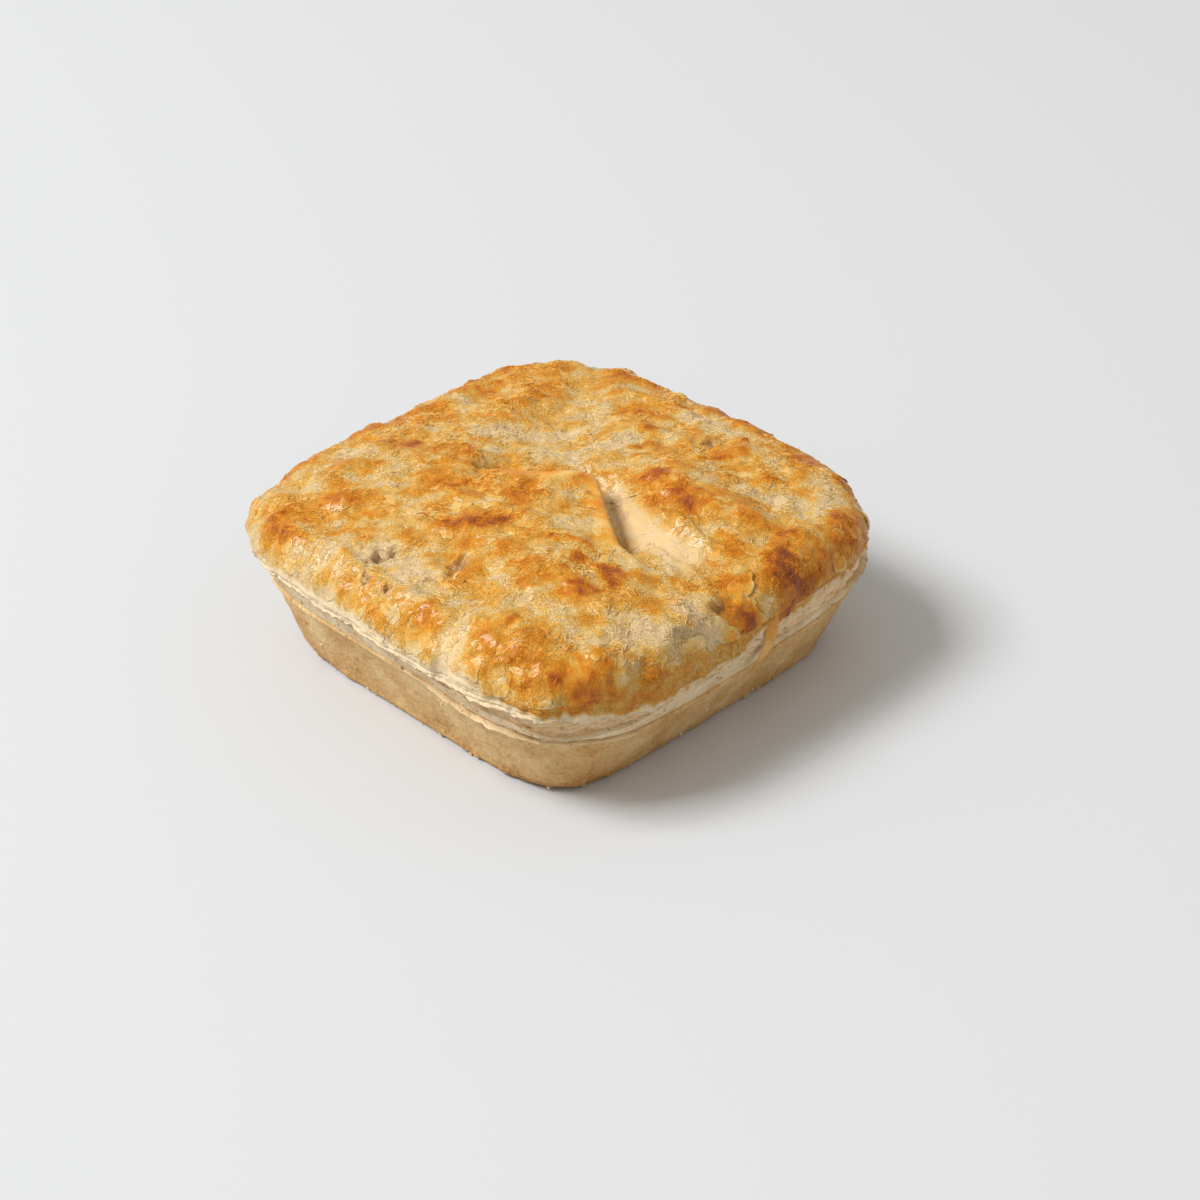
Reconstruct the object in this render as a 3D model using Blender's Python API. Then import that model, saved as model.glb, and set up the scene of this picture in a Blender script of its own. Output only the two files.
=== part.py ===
"""Individual square pork pie with a puffed lid, baked and out of its tin.

Two pieces of pastry, baked together, each one solid:
  pastry_case  the tapered shortcrust case with its trimmed edge, and the hidden filling
  pastry_lid   the puff pastry lid: side band, rolled rim, lobes, slit and hollows

Frame: metres, +Z up, the origin on the table under the middle of the lid, and the
pie's four sides square to X and Y. Each piece is a loft through rounded squares.
Sizes are written in millimetres and turned into metres when a mesh is made.
"""

import math

import bmesh
import bpy
import numpy as np

MM = 0.001

# Driving dimensions, in millimetres
LID_HALF = 50.0        # half the width of the lid at its widest
CASE_FOOT_HALF = 38.4  # half the width of the flat underside
CASE_LIP_HALF = 45.9   # half the width of the case at its lip line
CASE_LIP_Z = 14.6      # height of the lip line
CASE_TOP_HALF = 48.6   # half the width of the trimmed edge at its top
CASE_TOP_Z = 19.5      # height of the trimmed edge
CASE_SHIFT = 0.5       # the lid sits this far off the case in -X and in -Y
LID_GAP = 0.3          # clearance between case and lid
RIM_Z = 25.2           # height at which the lid is widest
CROWN_Z = 36.4         # height of the lid's middle before its relief

# Resolution of both lofts
SIDES = 96             # points round each section
TOP_RINGS = 21         # rings from the rolled rim to the middle of the lid

CASE_COLOUR = (0.60, 0.44, 0.24, 1.0)
LID_COLOUR = (0.66, 0.41, 0.14, 1.0)


# ---------------------------------------------------------------- sections

def rounded_square(half, squareness, height, centre=0.0):
    """One section: |x|^n + |y|^n = half^n, at SIDES even angles, as an array of points."""
    angle = np.arange(SIDES) * (2.0 * math.pi / SIDES)
    cosine, sine = np.cos(angle), np.sin(angle)
    reach = half / (np.abs(cosine) ** squareness + np.abs(sine) ** squareness) ** (1.0 / squareness)
    return np.stack([reach * cosine + centre,
                     reach * sine + centre,
                     np.full(SIDES, float(height))], axis=1)


def loft(name, sections, colour, roughness, collection):
    """A closed body through the sections, lowest first, with a fan of faces at each end."""
    shape = bmesh.new()
    rings = [[shape.verts.new(point * MM) for point in section] for section in sections]
    for lower, upper in zip(rings, rings[1:]):
        for i in range(SIDES):
            j = (i + 1) % SIDES
            shape.faces.new((lower[i], lower[j], upper[j], upper[i]))
    underside = shape.verts.new(np.mean(sections[0], axis=0) * MM)
    top = shape.verts.new(np.mean(sections[-1], axis=0) * MM)
    for i in range(SIDES):
        j = (i + 1) % SIDES
        shape.faces.new((underside, rings[0][j], rings[0][i]))
        shape.faces.new((top, rings[-1][i], rings[-1][j]))
    mesh = bpy.data.meshes.new(name)
    shape.to_mesh(mesh)
    shape.free()
    mesh.shade_smooth()
    mesh.set_sharp_from_angle(angle=math.radians(40.0))
    piece = bpy.data.objects.new(name, mesh)
    collection.objects.link(piece)
    mesh.materials.append(baked_pastry(name, colour, roughness))
    return piece


def baked_pastry(name, colour, roughness):
    material = bpy.data.materials.new(name)
    material.use_nodes = True
    shader = material.node_tree.nodes["Principled BSDF"]
    shader.inputs["Base Color"].default_value = colour
    shader.inputs["Roughness"].default_value = roughness
    shader.inputs["Metallic"].default_value = 0.0
    return material


# ---------------------------------------------------------------- shortcrust case

def case_sections():
    """The case from its underside up: foot rounding, tapered wall, lip and trimmed edge."""
    foot_round = 2.0
    foot_squareness, lip_squareness, top_squareness = 6.0, 5.0, 4.7
    wall_foot_half = CASE_FOOT_HALF + foot_round
    lip_out, lip_drop = 0.8, 0.5
    centre = CASE_SHIFT

    sections = []
    for step in range(4):
        turn = math.radians(90.0) * step / 3.0
        sections.append(rounded_square(CASE_FOOT_HALF + foot_round * math.sin(turn),
                                       foot_squareness,
                                       foot_round * (1.0 - math.cos(turn)), centre))
    for share in (0.33, 0.67, 1.0):
        sections.append(rounded_square(wall_foot_half + (CASE_LIP_HALF - wall_foot_half) * share,
                                       foot_squareness + (lip_squareness - foot_squareness) * share,
                                       foot_round + (CASE_LIP_Z - foot_round) * share, centre))
    sections.append(rounded_square(CASE_LIP_HALF + lip_out, lip_squareness, CASE_LIP_Z + lip_drop, centre))
    sections.append(rounded_square(CASE_TOP_HALF, top_squareness, CASE_TOP_Z - 0.6, centre))
    sections.append(rounded_square(CASE_TOP_HALF - 0.6, top_squareness, CASE_TOP_Z, centre))
    return sections


# ---------------------------------------------------------------- puff pastry lid

# Where the lid's relief is: middle x, y; half length, half width; turn of the length
# from +X in degrees; height, which is negative in a hollow
RELIEF = {
    "front lobe": (16.0, -19.0, 22.0, 13.0, -34.0, 2.0),
    "right lobe": (22.0, 16.0, 15.0, 7.0, 4.0, 2.0),
    "left lobe": (-27.0, -17.0, 13.0, 12.0, 20.0, 1.2),
    "far right lobe": (16.0, 36.0, 12.0, 6.0, -10.0, 0.8),
    "back hollow": (-15.0, 15.0, 10.0, 9.0, 130.0, -3.0),
    "back rim dip": (-24.0, 28.0, 7.0, 5.0, 130.0, -1.6),
    "left corner hollow": (-26.0, -36.0, 8.0, 5.0, 10.0, -1.0),
    "front side hollow": (17.0, -36.0, 9.0, 4.5, 15.0, -1.2),
    "right side hollow": (41.0, -18.0, 5.0, 8.0, 0.0, -1.0),
    "right corner hollow": (33.0, 28.0, 9.0, 6.0, 40.0, -1.2),
}

# The slit between the front lobe and the rest, from its left end to its right end
SLIT = ((-12.0, -9.0), (-8.0, -4.5), (-3.0, -2.5), (1.5, 1.5), (5.2, 4.0),
        (9.0, 1.5), (14.0, -2.5), (20.0, -7.0), (26.0, -9.6), (35.0, -9.0))
SLIT_DEPTH = 3.6       # greatest height of the step at the slit
SLIT_ROLL = 1.1        # width over which the front lobe's edge turns down

# The valley that runs from the slit's corner to the +X side
VALLEY = ((3.0, 9.0), (11.0, 4.5), (22.0, 0.5), (34.0, -0.5), (50.0, 0.5))
VALLEY_HALF_WIDTH = 4.6
VALLEY_DEPTH = 1.9


def swelling(x, y, middle_x, middle_y, length, width, turn, height):
    """A smooth oval rise: height * exp(-(along/length)^2 - (across/width)^2)."""
    turn = math.radians(turn)
    along = (x - middle_x) * math.cos(turn) + (y - middle_y) * math.sin(turn)
    across = (y - middle_y) * math.cos(turn) - (x - middle_x) * math.sin(turn)
    return height * np.exp(-(along / length) ** 2 - (across / width) ** 2)


def to_path(x, y, path):
    """Distance to a path of straight runs, how far along it (0 to 1), and the side (+ left)."""
    path = np.asarray(path)
    start, run = path[:-1], path[1:] - path[:-1]
    length = np.hypot(run[:, 0], run[:, 1])
    before = np.concatenate([[0.0], np.cumsum(length)[:-1]])
    off_x, off_y = x[:, None] - start[:, 0], y[:, None] - start[:, 1]
    share = np.clip((off_x * run[:, 0] + off_y * run[:, 1]) / length ** 2, 0.0, 1.0)
    gap = np.hypot(off_x - share * run[:, 0], off_y - share * run[:, 1])
    nearest = np.argmin(gap, axis=1)
    pick = (np.arange(len(x)), nearest)
    side = np.sign(run[nearest, 0] * off_y[pick] - run[nearest, 1] * off_x[pick])
    return gap[pick], (before[nearest] + share[pick] * length[nearest]) / length.sum(), side


def lid_relief(x, y):
    """Height that the lobes, hollows, valley and slit add to the plain dome, in mm."""
    rise = sum(swelling(x, y, *sizes) for sizes in RELIEF.values())
    gap, along, _ = to_path(x, y, VALLEY)
    rise -= VALLEY_DEPTH * np.exp(-(gap / VALLEY_HALF_WIDTH) ** 2)
    gap, along, side = to_path(x, y, SLIT)
    depth = SLIT_DEPTH * np.sin(math.pi * np.clip(along, 0.0, 1.0)) ** 0.6
    beyond = gap * np.where(side > 0.0, 1.0, -1.0)
    drop = 1.0 / (1.0 + np.exp(-2.5 * beyond / SLIT_ROLL))
    fade = np.where(beyond > 0.0, np.exp(-(gap / 9.0) ** 2), 1.0)
    return rise - depth * drop * fade


def lid_sections():
    """The lid from its flat underside: side band, rolled rim, then the dome with its relief."""
    side_squareness, rim_squareness, crown_squareness = 4.6, 4.2, 2.2
    roll_inset, roll_rise = 8.5, 8.3
    underside_z = CASE_TOP_Z + LID_GAP
    shoulder_z = RIM_Z + roll_rise

    sections = [rounded_square(LID_HALF - 1.6, side_squareness, underside_z),
                rounded_square(LID_HALF - 1.1, side_squareness, underside_z + 0.9),
                rounded_square(LID_HALF - 0.5, 4.4, underside_z + 2.9)]
    for step in range(6):
        turn = math.radians(90.0) * step / 6.0
        half = LID_HALF - roll_inset * (1.0 - math.cos(turn))
        sections.append(rounded_square(half, rim_squareness - 0.6 * step / 6.0,
                                       RIM_Z + roll_rise * math.sin(turn)))
    for ring in range(TOP_RINGS):
        share = ring / TOP_RINGS
        half = (LID_HALF - roll_inset) * (1.0 - share)
        squareness = 3.6 + (crown_squareness - 3.6) * share
        crown = 1.0 - (1.0 - share) ** 2
        section = rounded_square(half, squareness, shoulder_z + (CROWN_Z - shoulder_z) * crown)
        sections.append(section)

    for section in sections[3:]:
        inset = 1.0 - np.max(np.abs(section[:, :2]), axis=1) / LID_HALF
        weight = np.clip(inset / 0.14, 0.0, 1.0) ** 1.5
        section[:, 2] += weight * lid_relief(section[:, 0], section[:, 1])
    return sections


# ---------------------------------------------------------------- the pie

def clear_scene():
    for item in list(bpy.data.objects):
        bpy.data.objects.remove(item, do_unlink=True)


def main():
    clear_scene()
    pie = bpy.data.collections.new("square_pork_pie")
    bpy.context.scene.collection.children.link(pie)
    loft("pastry_case", case_sections(), CASE_COLOUR, 0.85, pie)
    loft("pastry_lid", lid_sections(), LID_COLOUR, 0.45, pie)


main()
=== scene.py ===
import math

import bpy
import numpy as np
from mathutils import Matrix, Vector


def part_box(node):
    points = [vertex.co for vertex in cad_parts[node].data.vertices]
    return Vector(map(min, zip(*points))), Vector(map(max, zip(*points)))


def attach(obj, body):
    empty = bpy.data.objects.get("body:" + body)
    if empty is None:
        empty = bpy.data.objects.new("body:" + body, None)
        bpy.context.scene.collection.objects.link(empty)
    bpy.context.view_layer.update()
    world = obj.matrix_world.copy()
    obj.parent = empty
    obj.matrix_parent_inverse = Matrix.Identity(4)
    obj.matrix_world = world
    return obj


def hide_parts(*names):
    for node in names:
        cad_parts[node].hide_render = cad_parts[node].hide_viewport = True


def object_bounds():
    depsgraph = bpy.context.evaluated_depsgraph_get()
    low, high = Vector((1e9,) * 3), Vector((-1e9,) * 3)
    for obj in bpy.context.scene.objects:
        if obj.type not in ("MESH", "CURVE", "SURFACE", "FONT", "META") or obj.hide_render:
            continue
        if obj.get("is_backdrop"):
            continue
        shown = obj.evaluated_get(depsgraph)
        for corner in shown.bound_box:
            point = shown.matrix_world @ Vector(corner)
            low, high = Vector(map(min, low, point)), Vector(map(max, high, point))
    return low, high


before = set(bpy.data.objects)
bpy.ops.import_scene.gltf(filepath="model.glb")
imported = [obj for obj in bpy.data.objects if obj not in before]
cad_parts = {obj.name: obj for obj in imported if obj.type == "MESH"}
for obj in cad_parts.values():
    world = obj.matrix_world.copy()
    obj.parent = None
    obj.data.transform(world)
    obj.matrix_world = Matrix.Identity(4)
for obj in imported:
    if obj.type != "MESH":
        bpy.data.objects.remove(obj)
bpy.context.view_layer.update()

# ==== Shortcrust case =====================================================================
# The case is plain shortcrust, rolled out and pressed into a tapered square tin, so its walls
# are smooth and matt where they met the metal. Its top was trimmed and sealed to the lid:
# above a thin lip line the cut edge is open, porous and a little pinker than the wall.

MM = 0.001
case_low, case_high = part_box("pastry_case")
CASE_CENTRE = (np.array(case_low) / MM + np.array(case_high) / MM)[:2] / 2
FOOT_HALF = 38.4
FOOT_ROUND = 2
LIP_HALF = 45.9
TRIM_HALF = 48.5
AROUND = 1120


def square_section(half, squareness, turn):
    """A rounded square |x|^n + |y|^n = half^n, as x and y in the directions `turn`:
    the distance out is half / (|cos|^n + |sin|^n)^(1/n)."""
    cosine, sine = np.cos(turn), np.sin(turn)
    reach = half / (np.abs(cosine) ** squareness + np.abs(sine) ** squareness) ** (1 / squareness)
    return reach * cosine, reach * sine


def even_turns(count, squareness):
    """Directions that space points evenly round a rounded square: its length is summed
    over fine steps and read back at even shares."""
    fine = np.linspace(-math.pi, math.pi, 20001)
    x, y = square_section(1, squareness, fine)
    run = np.concatenate([[0], np.cumsum(np.hypot(np.diff(x), np.diff(y)))])
    return np.interp(np.arange(count) / count * run[-1], run, fine)


def grain(x, y, z, size, seed):
    """Gradient noise from about -1 to 1 in lumps `size` mm across: every corner of a cubic
    lattice has a fixed random slope, and the eight nearest are blended by 6t^5 - 15t^4 + 10t^3."""
    draw = np.random.default_rng(seed)
    slopes = draw.normal(size=(256, 3))
    slopes /= np.linalg.norm(slopes, axis=1, keepdims=True)
    order = draw.permutation(256)
    place = np.stack(np.broadcast_arrays(x, y, z), axis=-1) / size
    cell = np.floor(place).astype(int)
    part = place - cell
    fade = part ** 3 * (part * (part * 6 - 15) + 10)
    total = np.zeros(place.shape[:-1])
    for corner in np.ndindex(2, 2, 2):
        key = order[(cell[..., 0] + corner[0]) & 255]
        key = order[(key + cell[..., 1] + corner[1]) & 255]
        key = order[(key + cell[..., 2] + corner[2]) & 255]
        share = np.prod(np.where(corner, fade, 1 - fade), axis=-1)
        total += share * np.sum(slopes[key] * (part - corner), axis=-1)
    return total * 1.7


def rough(x, y, z, size, seed, layers=3):
    """Grain summed over `layers` sizes, each half as large and half as high as the last."""
    return sum(grain(x, y, z, size / 2 ** i, seed + i) / 2 ** i for i in range(layers))


def ramp(value, low, high):
    """0 below low, 1 above high, and 3t^2 - 2t^3 between."""
    t = np.clip((value - low) / (high - low), 0, 1)
    return t * t * (3 - 2 * t)


def round_rim(turn, marks):
    """A height that changes smoothly round the pie, from marks of (direction in degrees,
    height): between two marks it follows 3t^2 - 2t^3, and the last leads back to the first."""
    places, levels = np.array(marks).T
    degrees = (np.degrees(turn) - places[0]) % 360
    places = np.append(places - places[0], 360)
    levels = np.append(levels, levels[0])
    last = np.clip(np.searchsorted(places, degrees, side="right") - 1, 0, len(marks) - 1)
    t = (degrees - places[last]) / (places[last + 1] - places[last])
    return levels[last] + (levels[last + 1] - levels[last]) * t * t * (3 - 2 * t)


LIP_MARKS = ((-180, 15), (-150, 15.4), (-122, 16.5), (-76, 16.6), (-60, 15.3), (-45, 14.9), (-30, 13),
             (-10, 12.6), (3, 12.8), (14, 13.9), (40, 14.4), (70, 15), (120, 15.2))
TRIM_MARKS = ((-180, 20), (-150, 20.8), (-122, 22.6), (-90, 22.3), (-72, 21.8), (-58, 20.2), (-45, 17.2),
              (-34, 17.6), (-20, 18.4), (10, 18.6), (40, 19), (70, 20), (120, 20))


def lip_height(turn):
    """Height of the lip line: higher along the -Y side and lower along the +X side."""
    return round_rim(turn, LIP_MARKS) + 0.3 * grain(np.cos(turn) * 40, np.sin(turn) * 40, 0, 14, 11)


def trim_height(turn):
    """Height of the trimmed edge's top, 4 to 6 mm above the lip line."""
    return round_rim(turn, TRIM_MARKS) + 0.35 * grain(np.cos(turn) * 40, np.sin(turn) * 40, 5, 9, 12)


def finished(name, points, faces, values, material):
    """A mesh object from points in mm, faces given as arrays with the corners of one face in
    each row, and for each named value that the material reads one number per point, or one
    number for them all."""
    mesh = bpy.data.meshes.new(name)
    corners = np.concatenate([rows.ravel() for rows in faces]).astype(np.int32)
    sizes = np.concatenate([np.full(len(rows), rows.shape[1]) for rows in faces])
    starts = np.concatenate([[0], np.cumsum(sizes)[:-1]]).astype(np.int32)
    mesh.vertices.add(len(points))
    mesh.vertices.foreach_set("co", (points * MM).astype(np.float32).ravel())
    mesh.loops.add(len(corners))
    mesh.loops.foreach_set("vertex_index", corners)
    mesh.polygons.add(len(starts))
    mesh.polygons.foreach_set("loop_start", starts)
    mesh.update(calc_edges=True)
    mesh.validate()
    mesh.shade_smooth()
    for label, amounts in values.items():
        layer = mesh.attributes.new(label, "FLOAT", "POINT")
        layer.data.foreach_set("value", np.broadcast_to(np.ravel(amounts), len(points)).astype(np.float32))
    mesh.materials.append(material)
    piece = bpy.data.objects.new(name, mesh)
    bpy.context.scene.collection.objects.link(piece)
    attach(piece, "root")
    return piece


def ring_faces(index):
    """Four-cornered faces of a sheet that closes on itself, from its point numbers in rows:
    they face out when the rows run upwards and each runs anticlockwise."""
    beside = np.roll(index, -1, axis=1)
    return np.stack([index[:-1], beside[:-1], beside[1:], index[1:]], axis=-1).reshape(-1, 4)


def fan_faces(ring, middle, upwards):
    """Triangles from a ring of points to one middle point, facing up or down."""
    beside = np.roll(ring, -1)
    centre = np.full(len(ring), middle)
    order = (ring, beside, centre) if upwards else (beside, ring, centre)
    return np.stack(order, axis=-1)


def closed_faces(rows, columns):
    """Faces of a closed body: rings of points from the bottom up, then its two end points."""
    index = np.arange(rows * columns).reshape(rows, columns)
    return [ring_faces(index), fan_faces(index[0], index.size, False),
            fan_faces(index[-1], index.size + 1, True)]


def colour(code):
    """An sRGB hex code as linear red, green, blue and alpha."""
    part = [int(code[i:i + 2], 16) / 255 for i in (0, 2, 4)]
    return [c / 12.92 if c < 0.04045 else ((c + 0.055) / 1.055) ** 2.4 for c in part] + [1]


def fill(node, sockets):
    """Gives each socket, by name or number, a value or a link from another node's output."""
    for label, value in sockets.items():
        if isinstance(value, bpy.types.NodeSocket):
            node.id_data.links.new(value, node.inputs[label])
        else:
            node.inputs[label].default_value = value


def add(material, kind, sockets=None, out=0, marks=(), **settings):
    """Adds one node and gives back one of its outputs. Settings go on the node, sockets as in
    fill, and marks are the places and hex codes along a colour ramp."""
    node = material.node_tree.nodes.new("ShaderNode" + kind)
    for label, value in settings.items():
        setattr(node, label, value)
    fill(node, sockets or {})
    for place, _ in marks[1:-1]:
        node.color_ramp.elements.new(place)
    for element, (place, code) in zip(node.color_ramp.elements if marks else (), marks):
        element.position = place
        element.color = colour(code)
    return node.outputs[out]


def size_of(lump):
    """The scale at which a noise node on Object coordinates has lumps `lump` mm across."""
    return 1 / (lump * MM)


def new_material(name):
    """A new material with its Principled shader and its Object coordinates."""
    material = bpy.data.materials.new(name)
    material.use_nodes = True
    place = add(material, "TexCoord", out="Object")
    return material, material.node_tree.nodes["Principled BSDF"], place


# Baked shortcrust: dry and matt, pale tan with a sandy grain of flour and fat, tiny dark
# specks and pores. The trimmed edge is cut pastry, so it is paler, pinker and rougher.
shortcrust, shader, place = new_material("baked_shortcrust")
sandy = add(shortcrust, "TexNoise", {"Vector": place, "Scale": size_of(7), "Detail": 4, "Roughness": 0.6})
fleck = add(shortcrust, "TexNoise", {"Vector": place, "Scale": size_of(0.9), "Detail": 3, "Roughness": 0.7})
open_edge = add(shortcrust, "Attribute", out="Fac", attribute_name="cut")
toast = add(shortcrust, "Attribute", out="Fac", attribute_name="toast")
grit = add(shortcrust, "MapRange", {"Value": fleck, "From Min": 0.25, "From Max": 0.75, "To Min": -0.22,
                                    "To Max": 0.22})
tone = add(shortcrust, "Math", {0: sandy, 1: toast}, operation="ADD")
tone = add(shortcrust, "Math", {0: tone, 1: grit}, operation="ADD")
tan = add(shortcrust, "ValToRGB", {"Fac": tone},
          marks=[(0.26, "E2C692"), (0.5, "D2AD74"), (0.7, "C4965A"), (0.95, "A06A2C")])
cut_tan = add(shortcrust, "ValToRGB", {"Fac": sandy},
              marks=[(0.3, "ECD8B6"), (0.5, "E0C8A0"), (0.68, "C8A67A")])
both_tan = add(shortcrust, "Mix", {"Factor": open_edge, 6: tan, 7: cut_tan}, out=2, data_type="RGBA")
speck = add(shortcrust, "ValToRGB", {"Fac": fleck}, marks=[(0.31, "6E4A28"), (0.4, "FFFFFF"), (1, "FFFFFF")])
flecked = add(shortcrust, "Mix", {"Factor": 0.55, 6: both_tan, 7: speck}, out=2, data_type="RGBA",
              blend_type="MULTIPLY")
crumbly = add(shortcrust, "Bump", {"Height": fleck, "Strength": 0.9, "Distance": 0.5 * MM})
fill(shader, {"Base Color": flecked, "Roughness": 0.72, "Specular IOR Level": 0.35, "Normal": crumbly})

# The profile runs from the middle of the underside, round the foot, up the wall, over the
# lip, up the trimmed edge and in over its top: half widths and heights, row by row.
turn = even_turns(AROUND, 5)[None, :]
lip, trim = lip_height(turn), trim_height(turn)
under = np.linspace(0.08, 1, 9)[:, None]
foot = np.radians(np.linspace(12, 90, 6))[:, None]
wall = np.linspace(0.04, 1, 30)[:, None]
bead = np.radians(np.linspace(-70, 80, 7))[:, None]
edge = np.linspace(0.12, 1, 14)[:, None]
top = np.linspace(0.2, 1, 5)[:, None]
flat = np.zeros_like(turn)
wall_half = FOOT_HALF + FOOT_ROUND
BEAD = 0.45

half = np.concatenate([
    FOOT_HALF * under + flat,
    FOOT_HALF + FOOT_ROUND * np.sin(foot) + flat,
    wall_half + (LIP_HALF - wall_half) * wall + flat,
    LIP_HALF + 0.25 + BEAD * np.cos(bead) + flat,
    LIP_HALF + 0.35 + (TRIM_HALF - LIP_HALF - 0.35) * edge ** 0.8 + flat,
    TRIM_HALF - 0.2 - 6 * top ** 1.5 + flat])
height = np.concatenate([
    0 * under + flat,
    FOOT_ROUND * (1 - np.cos(foot)) + flat,
    FOOT_ROUND + (lip - FOOT_ROUND) * wall,
    lip + 0.5 + BEAD * np.sin(bead),
    lip + 1.1 + (trim - lip - 1.1) * edge,
    trim + 0.35 * np.sin(math.pi * np.minimum(top, 0.5)) + flat])
on_wall = ramp(height, 0.6, 2.5) * (1 - ramp(height - lip, -0.6, 0.2))
on_edge = ramp(height - lip, 0.9, 1.6)
squareness = 6 - 1.3 * ramp(height / lip, 0.1, 1.2)
x, y = square_section(half, squareness, turn)
bulge = 0.45 * grain(x, y, height, 22, 21) + 0.16 * rough(x, y, height, 3, 22, 4)
pores = -0.35 * ramp(grain(x, y, height, 1.1, 24), 0.36, 0.7)
torn = 0.16 * rough(x, y, height, 2.2, 25) - 0.35 * ramp(grain(x, y, height, 1.5, 26), 0.42, 0.7)
skirt = 0.35 * ramp(grain(x, y, 0, 2.4, 27), 0.1, 0.6) * np.exp(-((height - 1.2) / 1.2) ** 2)
out = (bulge + 0.6 * pores) * on_wall + torn * on_edge + skirt * (height > 0.05)
x, y = square_section(np.maximum(half + out, 0), squareness, turn)
case_grid = np.stack([x + CASE_CENTRE[0], y + CASE_CENTRE[1], height], axis=-1)
points = np.concatenate([case_grid.reshape(-1, 3), [[*CASE_CENTRE, 0], [*CASE_CENTRE, trim.mean()]]])
toasted = 0.1 * grain(x, y, height, 9, 28) + 0.16 * np.exp(-((height - 1) / 1.6) ** 2)
toasted += 0.12 * ramp(grain(x, y, height, 2.5, 29), 0.3, 0.8) * on_edge
toasted += 0.16 * np.exp(-((np.degrees(turn) % 90 - 45) / 11) ** 2) * (1 - ramp(height, 2, 14))
case = finished("case_crust", points, closed_faces(len(x), AROUND),
                {"cut": np.append(on_edge, [0, 1]), "toast": np.append(toasted, [0, 0])}, shortcrust)
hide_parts("pastry_case")


# ==== Laminated side of the lid ===========================================================
# Under the browned skin the lid's cut side shows its laminations: thin pale leaves of puff
# pastry, still soft and greyish cream, with painted shade darkening the recessed gaps between them.

LAYER_ROWS = 46
LEAF = 0.85
EDGE_MARKS = ((-180, 23.2), (-150, 23.8), (-130, 24.6), (-90, 24.3), (-72, 23.9), (-58, 23), (-45, 22),
              (-36, 21), (-28, 19.6), (-14, 18.7), (-4, 19.4), (5, 21.8), (14, 22.6), (40, 22.8), (70, 23.3),
              (120, 23.2))


def skin_edge(turn):
    """Height of the ragged lower edge of the lid's browned skin."""
    return round_rim(turn, EDGE_MARKS)


# Steamed puff pastry: matt greyish cream, streaked along its leaves, with painted shade in the gaps
puff_crumb, shader, place = new_material("puff_laminations")
leafy = add(puff_crumb, "Mapping", {"Vector": place, "Scale": (0.35, 0.35, 1.6)})
streak = add(puff_crumb, "TexNoise", {"Vector": leafy, "Scale": size_of(1.6), "Detail": 4, "Roughness": 0.65})
painted_gap_shade = add(puff_crumb, "Attribute", out="Fac", attribute_name="painted_gap_shade")
leaf_colour = add(puff_crumb, "ValToRGB", {"Fac": streak},
                  marks=[(0.28, "D2B48C"), (0.45, "DCC39C"), (0.62, "E4CFAE"), (0.8, "EBDABE")])
gap_shade_colour = add(puff_crumb, "ValToRGB", {"Fac": painted_gap_shade},
                 marks=[(0, "FFFFFF"), (0.6, "FAEDD8"), (0.9, "E4CDAA"), (1, "BC9A6E")])
leaf = add(puff_crumb, "Mix", {"Factor": 1, 6: leaf_colour, 7: gap_shade_colour}, out=2, data_type="RGBA",
           blend_type="MULTIPLY")
leafy_bump = add(puff_crumb, "Bump", {"Height": streak, "Strength": 0.4, "Distance": 0.2 * MM})
fill(shader, {"Base Color": leaf, "Roughness": 0.62, "Normal": leafy_bump})

turn = even_turns(AROUND, 4.5)[None, :]
share = np.linspace(0, 1, LAYER_ROWS)[:, None]
low, high = trim_height(turn) - 0.8, np.maximum(skin_edge(turn), trim_height(turn)) + 1.6
height = low + (high - low) * share
half = 47.8 + 0.8 * ramp(np.cos(turn), 0.72, 0.95) + 1 * share
x, y = square_section(half, 4.4, turn)
lean = height + 0.9 * grain(x, y, 0, 9, 31) + 0.5 * grain(x, y, height, 2.5, 32)
phase = (lean / LEAF) % 1
number = np.floor(lean / LEAF)
tooth = np.sin(math.pi * phase) ** 0.6
reach = 0.5 + 0.8 * grain(x + 17 * number, y, 7 * number, 2.4, 33)
frill = 0.22 * grain(x, y, height, 0.9, 34)
out = tooth * (0.38 * np.clip(reach, 0, 1.2) + frill) - 0.25
out *= ramp(share, 0, 0.08) * (1 - ramp(share, 0.93, 1))
x, y = square_section(half + out, 4.4, turn)
inner_x, inner_y = square_section(43 + 0 * turn, 4.4, turn)
inner_low, inner_high = (np.stack([inner_x, inner_y, level], axis=-1) for level in (low, high))
layers = np.concatenate([inner_low, np.stack([x, y, height], axis=-1), inner_high]).reshape(-1, 3)
layers = np.concatenate([layers, [[0, 0, low.mean()], [0, 0, high.mean()]]])
# Painted shade: the further a leaf's edge is set back, the darker it is painted; the hidden inner rings are
# fully shaded
gap_shade = np.pad(1 - np.clip((out + 0.33) / 0.42, 0, 1), ((1, 1), (0, 0)), constant_values=1)
band = finished("lid_layers", layers, closed_faces(LAYER_ROWS + 2, AROUND),
                {"painted_gap_shade": np.append(gap_shade, [1, 1])}, puff_crumb)


# ==== Browned skin of the lid =============================================================
# The top leaves of the puff pastry, brushed with egg and baked to one crisp skin. It puffed
# into lobes round a slit at the middle, browned where it stood high, stayed pale in the
# hollows, rolled over at the rim and tore along its lower edge.

CELLS = 284
LID_HALF = 50
ROLL_INSET, ROLL_RISE, RIM_Z, CROWN_Z = 8.5, 8.3, 25.2, 36.4
LEVEL = 0.95
RIM_RADIUS = 56
BASE_BAKE, BARE_BAKE, DARKEST = 0.36, 0.07, 0.42

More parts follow.
